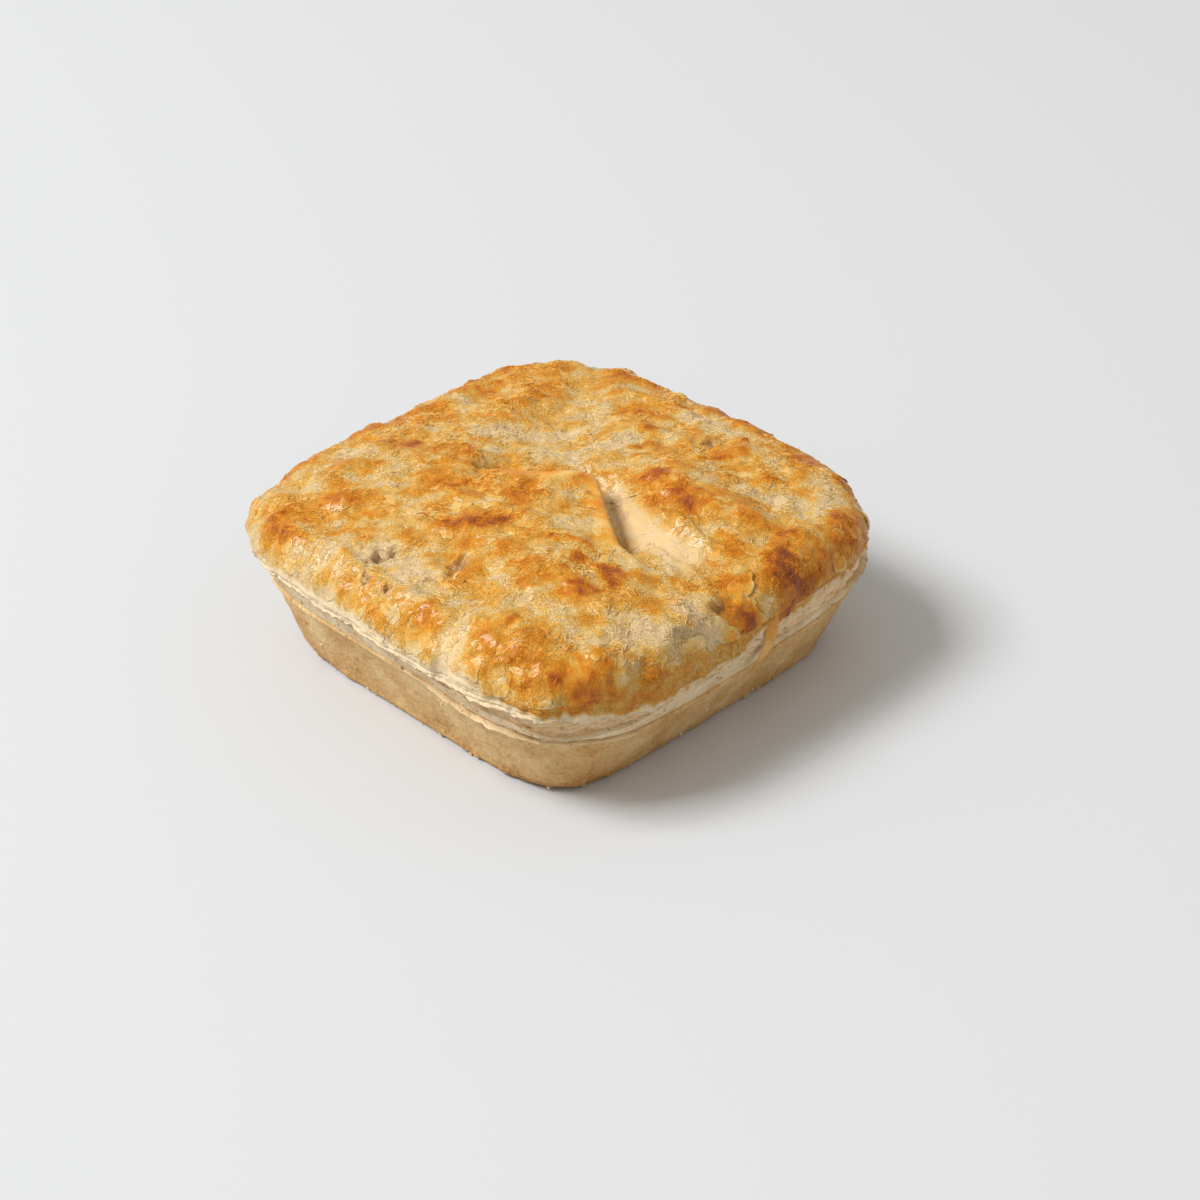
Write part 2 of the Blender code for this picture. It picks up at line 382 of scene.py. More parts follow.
# Middle x, y; half length, half width; turn of the length from +X in degrees; height
RELIEF = {
    "front lobe": (16, -19, 22, 13, -34, 2),
    "right lobe": (22, 16, 15, 7, 4, 2),
    "left lobe": (-27, -17, 13, 12, 20, 1.2),
    "far right lobe": (16, 36, 12, 6, -10, 0.8),
    "back hollow": (-15, 15, 10, 9, 130, -3),
    "back rim dip": (-24, 28, 7, 5, 130, -1.6),
    "left corner hollow": (-26, -36, 8, 5, 10, -1),
    "front side hollow": (17, -36, 9, 4.5, 15, -0.8),
    "right side hollow": (41, -18, 5, 8, 0, -0.5),
    "right corner hollow": (33, 28, 9, 6, 40, -1.2),
    "cavity": (-8.3, -2, 3.8, 1.7, 42, -3.6),
    "corner peak": (2.2, 1.2, 4.5, 3, 40, 0.7),
}
SLIT = ((-14, -10.5), (-9.6, -5.4), (-5.4, -4), (-0.9, -0.6), (1.8, 2.6), (4.9, 4),
        (8, 2), (11.8, -0.9), (18, -5.5), (24, -9), (30, -8.8), (36, -8.6))
SLIT_DEPTH, SLIT_REACH = 4.8, 4
VALLEY = ((2, 9), (11, 4.5), (22, 0.5), (34, -0.5), (50, 0.5))

# Across the slit: share of the way from the lobe (-1) to the floor (+1), place, drop
SECTION = ((-1, -1, 0), (-0.6, -0.56, -0.03), (-0.3, -0.1, -0.02), (-0.12, 0.18, 0), (0, 0.31, 0.06),
           (0.1, 0.355, 0.2), (0.2, 0.33, 0.42), (0.32, 0.18, 0.7), (0.46, 0.1, 0.92), (0.7, 0.42, 1),
           (1, 1, 0.97))

# Soft folds in the skin: path, half width, height
FOLDS = (
    (((-2.4, -8.6), (-0.5, -5), (1.4, -2.3)), 1.1, -0.7),
    (((-13, -12), (-7, -8.2), (0.5, -3.4), (3.6, 2)), 1.3, 0.75),
    (((3.3, 1.8), (6.5, 0.8), (9.6, -0.3)), 0.9, -0.5),
    (((-16, -22), (-5, -17), (8, -14), (16, -12)), 1.6, 0.6),
    (((-12, -29), (0, -26), (10, -20)), 1.7, 0.6),
    (((9, 7), (20, 6.2), (33, 5.6), (42, 5)), 1.3, 0.9),
    (((8, 3.4), (20, 0), (33, -1.8), (44, -1.2)), 0.9, 0.35),
    (((-36, -12), (-33, -24), (-34, -36)), 2.2, 0.9),
    (((-30, 2), (-32, 14), (-26, 24)), 2, 0.7),
    (((-6, 27), (4, 29), (12, 27)), 1.6, 0.6),
    (((-22, 34), (-8, 39), (6, 38)), 2, 0.7),
    (((30, 12), (36, 20), (34, 30)), 1.6, 0.6),
    (((24, -38), (33, -40), (40, -34)), 1.8, 0.8),
    (((-20, -44), (-8, -44.5), (6, -45), (16, -44)), 2.2, 0.9),
)

# Dock holes: x, y, radius, depth
DOCKS = ((-6.7, -39.6, 1.3, 1.7), (-5.2, -37.6, 0.9, 1.2), (8.4, -35.2, 1, 1.6), (6.2, -30.6, 1.2, 0.9),
         (7.2, -32.8, 1, 1.2), (2, -44.9, 0.9, 1.1), (-3.9, -45.4, 0.8, 0.7), (9.5, 32.1, 1.1, 0.9))

# Pale areas that stayed low or were stretched: x, y, half length, half width, turn, amount
PALE = (
    (-15, 14, 9, 8, 130, 0.26), (-4, 11, 6, 4, 100, 0.2), (44, -19, 8, 7, 80, 0.24),
    (45, -32, 5, 4, 80, 0.1), (47, -10, 4, 5, 90, 0.16), (27, 26, 7, 4, 35, 0.22),
    (37, 22, 4, 5, 20, 0.14), (-3, 24, 5, 4, 45, 0.14), (-10, -41, 8, 3.6, 20, 0.2),
    (8, -41, 7, 3.5, 20, 0.24), (20.6, -38, 6, 4, 20, 0.16), (-23, -39, 5, 4, 20, 0.1),
    (36.9, 0.3, 4, 3, 0, 0.16), (43.7, 8, 3, 3, 0, 0.14), (-18.6, 40.5, 4, 2.5, 0, 0.12),
    (-32, -1.5, 4, 3, 0, 0.1), (22, -10, 8, 3, -25, 0.06), (-24, 27, 6, 4, 130, 0.18),
    (6, -4.5, 3, 2, 0, 0.16), (49, 7, 2, 2.6, 0, 0.26), (49, -8.6, 2.4, 2.4, 0, 0.16),
)

# A tear in the rim of the -Y side and a hole in the torn patch of the +X side
FRONT_TEAR = (21.5, -47.6, 3.4, 3, 0, 1)
TORN_HOLE = (46.9, -4.4, 1.5, 2.3, 10, 1)

# Blisters and streaks on the top, and painted shade on the peak by the slit: x, y, half length,
# half width, turn, browning
BROWN_TOP = (
    (30, -16, 3.6, 2.8, -30, 0.42), (22.7, -17.9, 2.6, 1.8, 40, 0.34),
    (29.8, -24.1, 3.2, 2.4, 50, 0.3), (18.5, -15.2, 4.6, 1.3, 40, 0.34),
    (23, -27.5, 3.6, 1.6, 60, 0.26), (17.4, -25.8, 3.2, 1.9, 45, 0.22),
    (25.2, -41.4, 4.4, 2.4, 50, 0.2), (3.6, -20.2, 4.6, 1.5, 52, 0.28),
    (-1.2, -24.3, 4, 2.1, 55, 0.26), (-11.9, -16.6, 2.2, 1.3, 45, 0.24),
    (1.8, -9.3, 3.6, 2.4, 45, 0.14), (12.6, 14.4, 3, 2, 30, 0.32),
    (16.8, 13.4, 4.8, 2.7, 0, 0.26), (24, 12.5, 6, 3.2, -8, 0.24),
    (3.7, 18.3, 1.9, 1.2, 40, 0.3), (1, 20.3, 1.4, 1, 40, 0.26),
    (-2.3, 28.6, 1.6, 1, 45, 0.26), (14.8, 30.8, 6.8, 1.4, 62, 0.3),
    (12.7, 37.5, 1.9, 1.3, 45, 0.42), (30.9, 13.9, 4.2, 3, 0, 0.12),
    (-31.3, -9.3, 2.6, 1.9, 45, 0.32), (-26.1, -32.5, 2.4, 1.6, 60, 0.2),
    (-17.5, -30.5, 4.2, 2, 45, 0.2), (-29.7, -19.4, 1.6, 1, 45, 0.16),
    (46.6, 12.6, 4.4, 3, 60, 0.34), (46.5, 21.5, 3.4, 2.6, 70, 0.14),
    (42.6, 15.3, 2.1, 1.4, 45, 0.28), (40.8, 18.9, 2.8, 1.4, 30, 0.2),
    (43.6, 31.4, 3.8, 2.6, 60, 0.3), (40.8, 32.6, 1.7, 1.2, 60, 0.26),
    (34.7, 42, 2, 1, 0, 0.3), (42.6, -33.4, 4.2, 2, 50, 0.34),
    (43.6, -38, 4.4, 2, 45, 0.24), (31, -37, 5, 3, -10, 0.1),
    (14, -22, 8, 5, -30, 0.05), (-38, -2, 3.4, 1.7, 80, 0.2),
    (-40, 20, 5, 2, 80, 0.18), (-20, 43, 6, 2, 10, 0.18),
    (-34, 37, 5, 2, 45, 0.18), (8, 43.5, 5, 1.6, -10, 0.26),
    (24, 43, 5, 1.8, -10, 0.24), (-23, -12, 5, 2.4, 30, 0.1),
    (-8, 33, 5, 2, 20, 0.12), (-37, -28, 5, 3, 80, 0.12),
    # The last row is painted shade darkening the right face of the peak by the slit, not a blister
    (4.2, 3.2, 2.6, 1.3, -40, 0.16),
)

# Browning on the rolled rim: direction in degrees, height, half length, half height, browning
BROWN_RIM = (
    (-41.2, 25.8, 4, 2.4, 0.3), (-50.5, 26.2, 5, 3.2, 0.2), (-40.6, 29.8, 4.4, 2.4, 0.24),
    (-28.4, 22.6, 3.6, 2.2, 0.2), (11, 24.4, 4.2, 2.6, 0.52), (16.5, 26.6, 4.2, 2.2, 0.4),
    (24, 28, 4, 2.2, 0.12), (8.8, 30, 3.2, 2, 0.3), (33, 27, 7, 4, 0.2), (40, 25, 5, 3, 0.22),
    (-101, 30.2, 5, 2.2, 0.22), (-90, 30, 4.5, 2.2, 0.22), (-74, 29.6, 8, 3.8, 0.22),
    (-127, 31.5, 6, 4.5, 0.18), (-1.5, 28.5, 4.5, 4, 0.24), (92, 31, 7, 3, 0.2),
    (150, 29, 12, 4, 0.16), (-160, 29, 10, 4, 0.16), (180, 31, 6, 2, 0.14),
    (120, 30, 10, 3, 0.18),
)

# Where the skin is bare and white above its torn edge: direction in degrees, height
BARE_MARKS = ((-180, 24.5), (-150, 25), (-130, 25.6), (-114, 26.4), (-100, 26.9), (-88, 26.8), (-78, 25.6),
              (-68, 26.2), (-63, 26.9), (-58, 24.8), (-50, 23.4), (-38, 22.4), (-30, 20.6), (-14, 19.2),
              (-4, 19.8), (5, 22.5), (14, 22.8), (40, 23.2), (70, 24.5), (120, 24.8))


def curve_through(value, marks, column):
    """A smooth curve through marks of (place, level, ...): between two marks it is the cubic
    whose slope at each mark is the slope from the mark before to the mark after."""
    marks = np.asarray(marks)
    places, levels = marks[:, 0], marks[:, column]
    slopes = np.gradient(levels, places)
    last = np.clip(np.searchsorted(places, value, side="right") - 1, 0, len(places) - 2)
    width = places[last + 1] - places[last]
    t = np.clip((value - places[last]) / width, 0, 1)
    return (levels[last] * (2 * t ** 3 - 3 * t ** 2 + 1) + slopes[last] * width * (t ** 3 - 2 * t ** 2 + t)
            + levels[last + 1] * (3 * t ** 2 - 2 * t ** 3) + slopes[last + 1] * width * (t ** 3 - t ** 2))


def oval(x, y, middle_x, middle_y, length, width, turn):
    """How far out a point is in an oval, squared: 0 at its middle and 1 at its edge."""
    turn = math.radians(turn)
    along = (x - middle_x) * math.cos(turn) + (y - middle_y) * math.sin(turn)
    across = (y - middle_y) * math.cos(turn) - (x - middle_x) * math.sin(turn)
    return (along / length) ** 2 + (across / width) ** 2


def ovals(x, y, table, power=1):
    """The sum over a table of ovals of amount * exp(-(distance out, squared) ^ power)."""
    return sum(amount * np.exp(-oval(x, y, *place) ** power) for *place, amount in table)


def to_path(x, y, path, blur=1.6, fine=320):
    """The nearest point of a smooth path: the gap to it, the share of the way along it, the
    side (+ left) and the unit direction to its left. The path's corners are rounded by
    averaging over `blur` mm."""
    path = np.asarray(path)
    run = np.concatenate([[0], np.cumsum(np.hypot(*np.diff(path, axis=0).T))])
    at = np.linspace(0, run[-1], fine)
    line = np.stack([np.interp(at, run, path[:, i]) for i in (0, 1)], axis=1)
    steps = max(3, int(fine * blur / run[-1]) | 1)
    padded = np.concatenate([np.repeat(line[:1], steps // 2, 0), line, np.repeat(line[-1:], steps // 2, 0)])
    line = np.stack([np.convolve(padded[:, i], np.ones(steps) / steps, "valid") for i in (0, 1)], axis=1)
    heading = np.gradient(line, axis=0)
    heading /= np.linalg.norm(heading, axis=1, keepdims=True)
    gap = np.full(x.shape, 1e9)
    nearest = np.zeros(x.shape, dtype=int)
    for i, (px, py) in enumerate(line):
        here = (x - px) ** 2 + (y - py) ** 2
        closer = here < gap
        gap = np.where(closer, here, gap)
        nearest = np.where(closer, i, nearest)
    off_x, off_y = x - line[nearest, 0], y - line[nearest, 1]
    side = np.sign(heading[nearest, 0] * off_y - heading[nearest, 1] * off_x)
    away = np.stack([-heading[nearest, 1], heading[nearest, 0]], axis=-1)
    return np.sqrt(gap), nearest / (fine - 1), side, away


def leaf_edges(field, step, sharp):
    """The edges of thin leaves lying on each other: a field cut into steps, each rising late
    and fast, as (whole part + t^sharp) * step."""
    whole = np.floor(field / step)
    t = field / step - whole
    return (whole + t ** sharp) * step


def closer_cells(count, middle, width, extra):
    """Places from -1 to 1 that lie closer together near the middle given: their density is
    1 + extra * exp(-((place - middle) / width)^2), summed and read back."""
    fine = np.linspace(-1, 1, 4001)
    density = 1 + extra * np.exp(-((fine - middle) / width) ** 2)
    run = np.concatenate([[0], np.cumsum((density[1:] + density[:-1]) / 2)])
    return np.interp(np.linspace(0, run[-1], count + 1), run, fine)


def leaf_levels(x, y, z):
    """A saw-tooth up the side, from 0 to 1 over each leaf's LEVEL mm, bent by two noises."""
    return ((z + 0.5 * grain(x, y, 0, 8, 75) + 0.15 * grain(x, y, z, 1.2, 76)) / LEVEL) % 1


def bare_height(turn, x, y):
    """The height up to which the skin above its torn edge stayed bare, made ragged."""
    return round_rim(turn, BARE_MARKS) + 0.9 * grain(x, y, 0, 5, 69) + 0.8 * grain(x, y, 0, 1.7, 70)


def rim_browning(turn, x, y, z):
    """Browning on the rim: the sum of amount * exp(-(distance out, squared)^2) over ragged
    ovals in the distance round the rim and the height."""
    ragged = grain(x, y, z, 2.2, 66)
    total = 0
    for middle, height, length, tall, amount in BROWN_RIM:
        along = np.radians((np.degrees(turn) - middle + 180) % 360 - 180) * RIM_RADIUS
        out = ((along + 1.6 * ragged) / length) ** 2 + ((z - height + 1.3 * ragged) / tall) ** 2
        total = total + 0.74 * amount * np.exp(-out ** 2)
    return total


# A square grid carried onto rounded squares: each point keeps its direction, and its ring
# number sets how far out it lies, up to the lid's widest line.
across, upward = np.meshgrid(closer_cells(CELLS, 0.13, 0.3, 0.5), closer_cells(CELLS, -0.06, 0.14, 1.3))
ring = np.maximum(np.abs(across), np.abs(upward))
arc = ring * (LID_HALF - ROLL_INSET + 0.5 * math.pi * (ROLL_INSET + ROLL_RISE) / 2)
inner_half = LID_HALF - ROLL_INSET
roll = np.clip((arc - inner_half) / (arc.max() - inner_half), 0, 1) * math.pi / 2
half = np.where(arc < inner_half, arc, inner_half + ROLL_INSET * np.sin(roll))
squareness = 2.2 + 1.4 * np.clip(arc / inner_half, 0, 1) + 0.6 * roll / (math.pi / 2)
size = (np.abs(across) ** squareness + np.abs(upward) ** squareness) ** (1 / squareness)
size = np.where(size > 0, size, 1)
x, y = half * across / size, half * upward / size
crown = np.clip(1 - (arc / inner_half) ** 2, 0, 1)
z = RIM_Z + ROLL_RISE * np.cos(roll) + (CROWN_Z - RIM_Z - ROLL_RISE) * crown
turn = np.arctan2(y, x)
inset = 1 - np.maximum(np.abs(x), np.abs(y)) / LID_HALF
weight = ramp(inset, 0, 0.14)

# Lobes, hollows, soft folds and the valley
rise = ovals(x, y, RELIEF.values())
valley_gap, valley_along, _, _ = to_path(x, y, VALLEY)
in_valley = np.exp(-(valley_gap / 3.9) ** 4) * ramp(valley_along, 0, 0.12)
in_valley *= 1 - ramp(valley_along, 0.62, 0.85)
rise = rise - 1.9 * np.exp(-(valley_gap / 4.6) ** 2) * ramp(valley_along, 0, 0.2)
for path, width, height in FOLDS:
    gap, along, _, _ = to_path(x, y, path, 4, 60)
    rise = rise + height * np.exp(-(gap / width) ** 2) * np.sin(math.pi * np.clip(along, 0.02, 0.98)) ** 0.5

# The slit: across it the skin runs level on the front lobe, bulges a little past the edge,
# turns under and comes out on the valley's floor.
slit_gap, slit_along, slit_side, slit_away = to_path(x, y, SLIT, 1.4)
strength = ramp(slit_along, 0, 0.12) * (1 - ramp(slit_along, 0.68, 1))
beyond = slit_gap * slit_side / SLIT_REACH
slit_share = np.clip(beyond, -1, 1)
slide = SLIT_REACH * (curve_through(slit_share, SECTION, 1) - slit_share) * strength
x = x + slide * slit_away[..., 0]
y = y + slide * slit_away[..., 1]
fade_out = np.exp(-np.maximum(slit_gap - SLIT_REACH, 0) / 4.5) * (beyond > 0)
drop = np.where(beyond < 1, curve_through(slit_share, SECTION, 2), 0.97 * fade_out)
rise = rise - SLIT_DEPTH * strength * drop
crest = strength * np.exp(-((beyond + 0.22) / 0.34) ** 2)
under_crest = strength * ramp(beyond, 0.1, 0.25) * (1 - ramp(beyond, 0.44, 0.66))

# Puffs, leaf edges and wrinkles, weakest on the smooth edge of the slit and the valley floor
smooth = np.clip(1.1 * crest + 0.45 * in_valley + under_crest, 0, 1)
calm = 1 - 0.9 * smooth
warp_x = x + 1.8 * grain(x, y, 3, 3.4, 44) + 0.5 * grain(x, y, 3, 1.2, 54)
warp_y = y + 1.8 * grain(x, y, 9, 3.4, 45) + 0.5 * grain(x, y, 9, 1.2, 55)
lumps = 0.7 * rough(x, y, z, 9, 41, 2) + 0.54 * grain(x, y, z, 4, 43)
levels = 0.2 * leaf_levels(x, y, z)
leaves = leaf_edges(rough(warp_x, warp_y, 0.3 * z, 8, 46, 2), 0.36, 7) * 0.65
leaves += leaf_edges(rough(warp_x, warp_y, 0.3 * z, 3, 48, 2), 0.4, 5) * 0.22
wrinkles = 0.17 * (0.25 - np.abs(grain(warp_x, warp_y, z, 2.3, 51)))
wrinkles += 0.08 * (0.25 - np.abs(grain(warp_x, warp_y, z, 1.15, 52)))
streaks = grain(0.22 * (x + y), 0.7 * (y - x) + grain(x, y, 0, 5, 77), 0.4 * z, 2, 57)
relief = lumps * (0.35 + 0.65 * calm) + (leaves + wrinkles + 0.16 * streaks) * calm
stretch = (0.1 * grain(0.2 * x, y + 0.3 * x, 0, 1.3, 53) + 0.04 * grain(x, y, 2, 1.4, 56)) * in_valley
ragged_x, ragged_y = x + 0.9 * grain(x, y, 1, 1.8, 64), y + 0.9 * grain(x, y, 4, 1.8, 65)
holes = collars = in_hole = 0
for hx, hy, radius, depth in DOCKS:
    out = np.hypot(ragged_x - hx, ragged_y - hy) / radius
    holes = holes + depth * (0.75 * np.exp(-out ** 4) + 0.35 * np.exp(-(out / 2.1) ** 2))
    collars = collars + 0.3 * np.exp(-((out - 1.7) / 0.45) ** 2)
    in_hole = in_hole + np.exp(-(out / 1.25) ** 4)
blisters = 1.9 * ovals(x, y, BROWN_TOP, 1.7)

# The relief stands straight up on the top and sideways on the rim
level = np.maximum(np.hypot(x, y), 1e-6)
tip = np.sin(roll)
bare_line = bare_height(turn, x, y)
tear = ovals(ragged_x, ragged_y, [FRONT_TEAR], 2)
bare = np.maximum((1 - ramp(z - bare_line, -0.5, 0.9)) * ramp(roll, 0.5, 0.7), 0.6 * tear)
push = (relief * 0.85 + 0.5 * blisters) * (1 - 0.6 * bare) + stretch - levels * bare - 0.7 * tear
x = x + push * x / level * tip
y = y + push * y / level * tip
z = z + weight * rise + push * np.cos(roll) - holes + collars * calm

# Browning: most on what stands high, on the rim and in the listed blisters
high_spots = np.tanh((relief - 0.1) / 0.45)
on_rim = ramp(roll, 0.1, 0.9)
spotty = grain(x, y, z, 2.4, 62)
bake = BASE_BAKE + 0.06 * high_spots + 0.05 * on_rim + 0.25 * grain(x, y, z, 7, 61) + 0.12 * spotty
bake += 0.12 * grain(x, y, z, 16, 63) + 0.1 * streaks - 0.06 * ramp(-y, 24, 44)
bake += 0.06 * crest - 0.95 * ovals(ragged_x, ragged_y, PALE, 1.2)
floor_tone = 0.07 + 0.07 * grain(0.25 * x, y + 0.3 * x, 0, 1.2, 67) + 0.08 * grain(x, y, 0, 5, 68)
bake += (floor_tone - bake) * np.clip(in_valley * ramp(beyond, -0.1, 0.2), 0, 1) * 0.95
bake += (0.2 - bake) * 0.7 * under_crest
browned = 1.04 * ovals(ragged_x, ragged_y, BROWN_TOP, 2.8) * (1 + 0.7 * spotty)
bake += browned
rim_browned = rim_browning(turn, x, y, z)
bake += rim_browned
blister_skin = 0.3 * ramp(browned + rim_browned, 0.14, 0.34)
bake -= 0.18 * (1 - ramp(z - bare_line, 0, 4.5)) * on_rim
bake = np.minimum(bake, 0.5) + DARKEST * np.tanh(np.maximum(bake - 0.5, 0) / DARKEST)
bake += (BARE_BAKE - bake) * bare

# Painted shade in the deepest places: the lower corner under the slit's crest, the cavity, the torn hole and
# the floors of the dock holes
cavity = ovals(x, y, [(*RELIEF["cavity"][:5], 1)], 1.5)
torn_hole = ovals(ragged_x, ragged_y, [TORN_HOLE], 1.5)
z = z - 1.5 * torn_hole
slit_corner_shade = strength * ramp(beyond, 0.2, 0.36) * (1 - ramp(beyond, 0.46, 0.56))
hole_floor_shade = in_hole * np.clip(holes / 1.6 - 0.4, 0, 1)
painted_shade = np.clip(0.6 * slit_corner_shade + cavity + 0.8 * torn_hole + 0.45 * hole_floor_shade, 0, 1)
top_points = np.stack([x, y, z], axis=-1)
x_top, y_top = x, y
index = np.arange((CELLS + 1) ** 2).reshape(CELLS + 1, CELLS + 1)
top_faces = np.stack([index[:-1, :-1], index[:-1, 1:], index[1:, 1:], index[1:, :-1]], axis=-1).reshape(-1, 4)

# The side of the skin: from the widest line down to its torn lower edge, then in under it
border = np.concatenate([index[0, :-1], index[:-1, -1], index[-1, :0:-1], index[:0:-1, 0]])
rim_points = top_points.reshape(-1, 3)[border]
turn = np.arctan2(rim_points[:, 1], rim_points[:, 0])[None, :]
rx, ry, rz = rim_points.T[:, None, :]
SKIRT = 12
share = np.linspace(1 / SKIRT, 1, SKIRT)[:, None]
teeth = 0.7 * grain(rx, ry, 0, 4, 71) + 0.45 * grain(rx, ry, 0, 1.6, 72)
lower = skin_edge(turn) + 1.2 * teeth - 0.2
flare = 1 - 0.8 * ramp(np.cos(turn), 0.62, 0.9)
z_skirt = rz + (lower - rz) * share
pull = 1 - 0.002 * np.sin(math.pi * share) + (0.004 + 0.009 * teeth) * flare * share ** 4
levels = 0.3 * leaf_levels(rx, ry, z_skirt)
frayed = 0.3 * grain(rx, ry, z_skirt, 2, 73) + 0.12 * grain(rx, ry, z_skirt, 0.9, 74)
pull = pull + (frayed - levels) / LID_HALF
pull = np.concatenate([pull, pull[-1:] - 0.02, 0.9 + 0 * pull[-1:]])
side_z = np.concatenate([z_skirt, lower + 0.25, lower + 1.2])
side = np.stack([rx * pull, ry * pull, side_z], axis=-1)
skin_points = np.concatenate([top_points.reshape(-1, 3), side.reshape(-1, 3), [[0, 0, 24]]])
ring_index = index.size + np.arange(side_z.size).reshape(side_z.shape)
ring_index = np.concatenate([border[None, :], ring_index])
skirt_faces = ring_faces(ring_index)[:, ::-1]
bottom = fan_faces(ring_index[-1], len(skin_points) - 1, False)

skirt_bake = BASE_BAKE + 0.08 * grain(rx, ry, z_skirt, 2.2, 62) + 0.8 * rim_browning(turn, rx, ry, z_skirt)
skirt_bare = 1 - ramp(z_skirt - bare_height(turn, rx, ry), -0.5, 0.9)
skirt_bare = np.maximum(skirt_bare, ramp(share, 0.75, 1))
skirt_bake += (BARE_BAKE - skirt_bake) * skirt_bare
hidden = len(skin_points) - index.size - z_skirt.size


def whole_skin(on_top, on_side, inside):
    """One value for each point of the skin: on the grid, on its side, and in under it."""
    on_side = np.broadcast_to(on_side, z_skirt.shape)
    return np.concatenate([on_top.ravel(), on_side.ravel(), np.full(hidden, inside)])


# The last two values carry painted shade: a tan one in the dock holes and on the valley floor, a dark brown
# one in the deepest places
skin_values = {
    "bake": whole_skin(bake, skirt_bake, 0),
    "bare": whole_skin(np.clip(bare + 0.5 * in_valley, 0, 1), skirt_bare, 1),
    "smooth": whole_skin(np.maximum(smooth, blister_skin), 0, 0),
    "painted_hollow_shade": whole_skin(np.clip(in_hole + 0.2 * in_valley, 0, 1), 0, 0),
    "painted_shade": whole_skin(painted_shade, 0, 1),
}

# Egg-glazed puff pastry: cream where it stayed pale, through straw and gold to chestnut
# where it blistered. The egg wash leaves a thin gloss that breaks up over fine curled threads.
glazed, shader, place = new_material("egg_glazed_puff")
bake_in, bare_in, smooth_in, hollow_shade_in, painted_shade_in = (
    add(glazed, "Attribute", out="Fac", attribute_name=label) for label in skin_values)


def threads(lump, half_width, offset, distortion):
    """Thin curled lines where a noise passes its middle: 1 on the line and 0 at half_width off
    it, as 1 - |noise - 0.5| / half_width."""
    moved = add(glazed, "Mapping", {"Vector": place, "Location": (offset, offset, 0)})
    noise = add(glazed, "TexNoise", {"Vector": moved, "Scale": size_of(lump), "Detail": 1, "Roughness": 0.5,
                                     "Distortion": distortion})
    off = add(glazed, "Math", {0: noise, 1: 0.5}, operation="SUBTRACT")
    off = add(glazed, "Math", {0: off}, operation="ABSOLUTE")
    return add(glazed, "MapRange", {"Value": off, "From Max": half_width, "To Min": 1, "To Max": 0},
               interpolation_type="SMOOTHSTEP")


mottle = add(glazed, "TexNoise", {"Vector": place, "Scale": size_of(3), "Detail": 5, "Roughness": 0.65,
                                  "Distortion": 1})
blotch = add(glazed, "TexNoise", {"Vector": place, "Scale": size_of(1.1), "Detail": 5, "Roughness": 0.66,
                                  "Distortion": 1.8})
curls = add(glazed, "Math", {0: threads(1.9, 0.045, 0, 2.6), 1: threads(1.2, 0.05, 0.31, 1.8)},
            operation="MAXIMUM")

# Colour: browning, shifted by the mottle, steadier on smooth skin and paler along the curled
# lines; the paler lines are partly the skin's own pale threads and partly painted glints
shift, finer, shine, egg_wash = (
    add(glazed, "MapRange", {"Value": value, "From Min": low, "From Max": high, "To Min": lo, "To Max": hi})
    for value, low, high, lo, hi in ((mottle, 0.3, 0.7, -0.13, 0.13), (blotch, 0.3, 0.7, -0.1, 0.1),
                                     (blotch, 0.35, 0.65, 0.26, 0.46), (blotch, 0.38, 0.62, 0.1, 0.38)))
steady, not_smooth, washed, not_bare = (
    add(glazed, "MapRange", {"Value": value, "To Min": lo, "To Max": hi})
    for value, lo, hi in ((smooth_in, 1, 0.35), (smooth_in, 0.9, 0.12), (bare_in, 1, 0.2), (bare_in, 1, 0.6)))
shift = add(glazed, "Math", {0: shift, 1: finer}, operation="ADD")
shift = add(glazed, "Math", {0: shift, 1: steady}, operation="MULTIPLY")
# Partly painted glints: the curled lines are made paler
pale_lines_and_glints = add(glazed, "Math", {0: curls, 1: 0.11}, operation="MULTIPLY")
baked = add(glazed, "Math", {0: bake_in, 1: shift}, operation="ADD")
baked = add(glazed, "Math", {0: baked, 1: pale_lines_and_glints}, operation="SUBTRACT")
crust = add(glazed, "ValToRGB", {"Fac": baked},
            marks=[(0.00, "DABE8F"), (0.1, "DDBD80"), (0.2, "DDB260"), (0.3, "DAA03D"), (0.4, "D68F20"),
                   (0.52, "CF7E0C"), (0.66, "BA6605"), (0.8, "944805"), (0.95, "6A2C04")])
bare_share = add(glazed, "Math", {0: bare_in, 1: 1.5}, operation="POWER")
hollow_shade_share = add(glazed, "Math", {0: hollow_shade_in, 1: 0.75}, operation="MULTIPLY")
# Bare skin takes its own cream colour; the other two mixes are painted shade, tan in the dock holes and on
# the valley floor and dark brown in the deepest places
for share, code in ((bare_share, "E5CFAA"), (hollow_shade_share, "B08C60"), (painted_shade_in, "86633E")):
    crust = add(glazed, "Mix", {"Factor": share, 6: crust, 7: colour(code)}, out=2, data_type="RGBA")

# Gloss: a thin broken coat of egg wash, dull where the skin is bare
dull = add(glazed, "Mix", {"Factor": bare_in, 2: shine, 3: 0.65}, data_type="FLOAT")
coat = add(glazed, "Math", {0: egg_wash, 1: washed}, operation="MULTIPLY")

